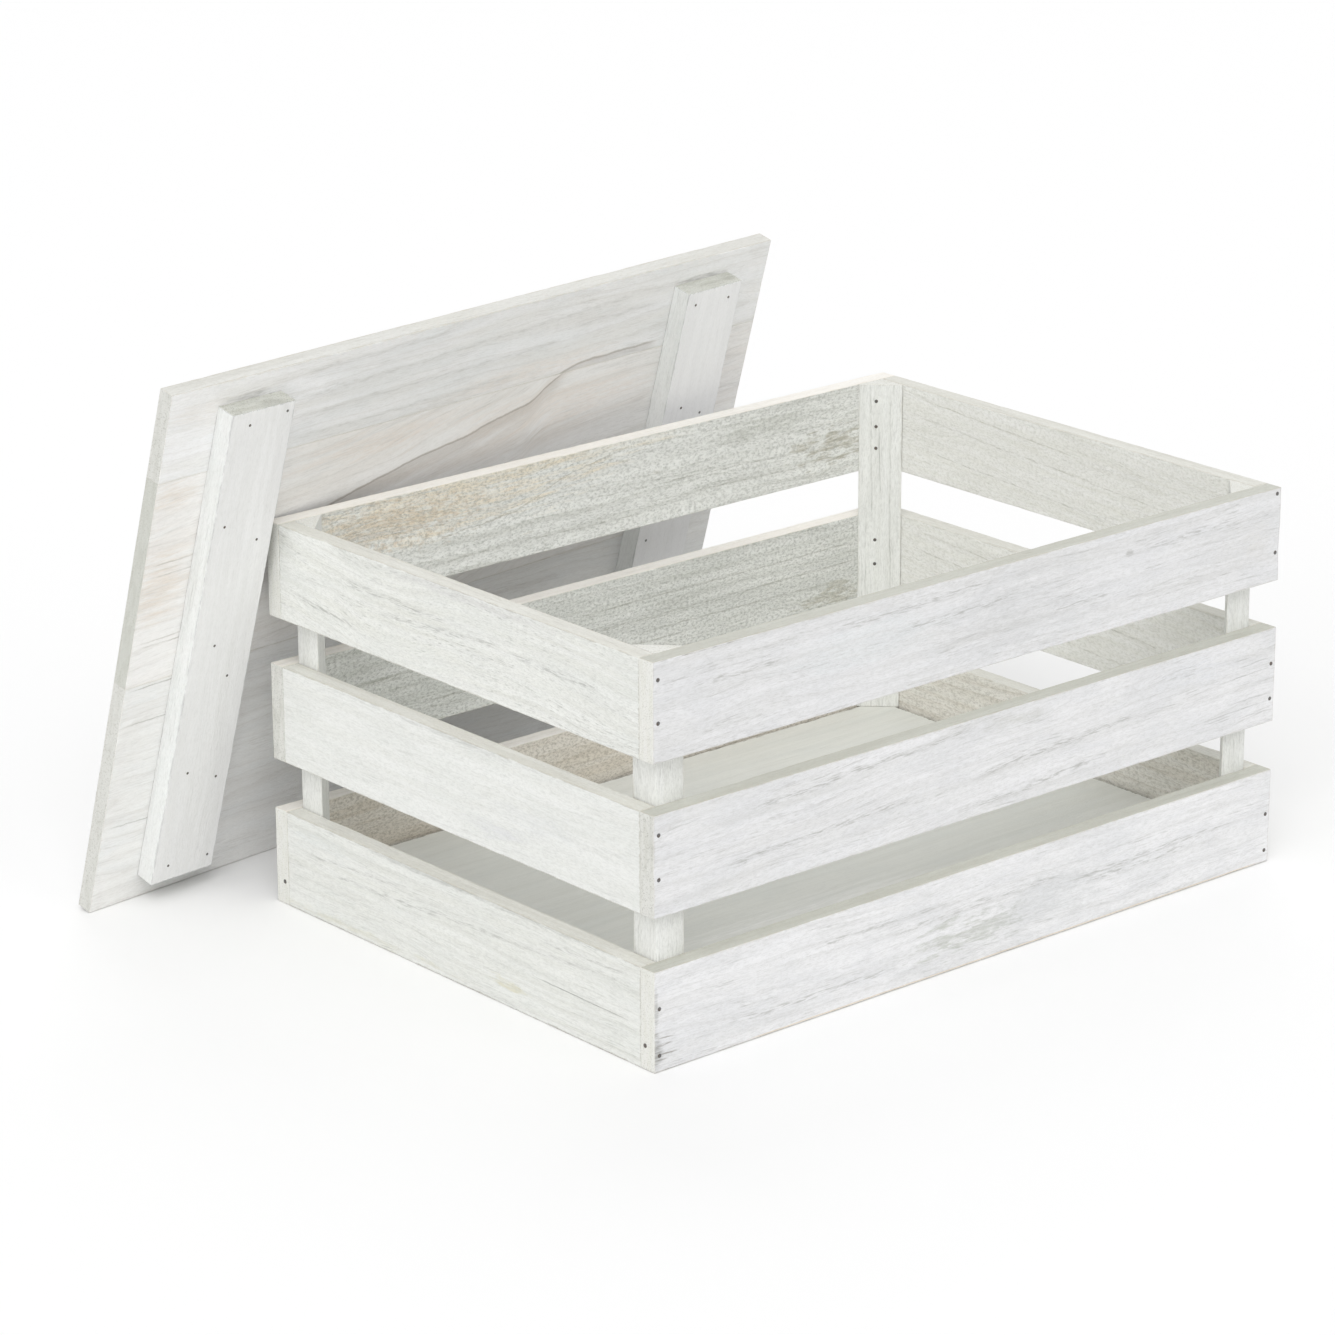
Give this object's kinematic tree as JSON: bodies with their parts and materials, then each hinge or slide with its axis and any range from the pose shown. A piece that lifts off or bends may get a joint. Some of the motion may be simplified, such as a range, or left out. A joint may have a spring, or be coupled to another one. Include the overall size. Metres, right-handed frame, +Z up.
{
  "type": "slatted apple crate with loose lid",
  "caption": "White-washed slatted wooden crate with corner posts and a flat floor, and a loose board lid with two battens leaning against its back.",
  "frame": {"origin": "on the ground, under the middle of the whole footprint of crate and leaning lid", "axes": "+X along the crate's long side, from its left end to its right end; +Y from its front to its back, where the lid leans; +Z up"},
  "size_m": [0.4916, 0.3852, 0.2821],
  "materials": {
    "washed_long_slats": "thin cool white wash over grey sawn grain",
    "washed_short_slats": "thin cream white wash over sawn grain",
    "washed_posts": "white wash, worn through at the edges",
    "washed_floor": "smooth pale grey-green wash",
    "washed_lid_boards": "thin wash with beige and grey grain showing",
    "washed_battens": "smooth cool white wash",
    "nail_steel": "dark, dull nail heads"
  },
  "bodies": {
    "crate": {"front_bottom_slat": "washed_long_slats", "back_bottom_slat": "washed_long_slats", "left_bottom_slat": "washed_short_slats", "right_bottom_slat": "washed_short_slats", "front_middle_slat": "washed_long_slats", "back_middle_slat": "washed_long_slats", "left_middle_slat": "washed_short_slats", "right_middle_slat": "washed_short_slats", "front_top_slat": "washed_long_slats", "back_top_slat": "washed_long_slats", "left_top_slat": "washed_short_slats", "right_top_slat": "washed_short_slats", "corner_post_front_left": "washed_posts", "corner_post_front_right": "washed_posts", "corner_post_back_left": "washed_posts", "corner_post_back_right": "washed_posts", "floor_panel": "washed_floor", "slat_nails_front_left": "nail_steel", "slat_nails_front_right": "nail_steel", "slat_nails_back_left": "nail_steel", "slat_nails_back_right": "nail_steel", "post_nails_front_left": "nail_steel", "post_nails_front_right": "nail_steel", "post_nails_back_left": "nail_steel", "post_nails_back_right": "nail_steel", "end_nails_left": "nail_steel", "end_nails_right": "nail_steel", "floor_nails": "nail_steel"},
    "lid": {"lid_board_lower": "washed_lid_boards", "lid_board_middle": "washed_lid_boards", "lid_board_upper": "washed_lid_boards", "lid_batten_left": "washed_battens", "lid_batten_right": "washed_battens", "batten_nails_left": "nail_steel", "batten_nails_right": "nail_steel"}
  },
  "joints": [
    {"name": "lid_lift", "type": "slide", "parent": "crate", "child": "lid", "axis": [0, 0, 1], "range_m": [0, 0.25]}
  ]
}
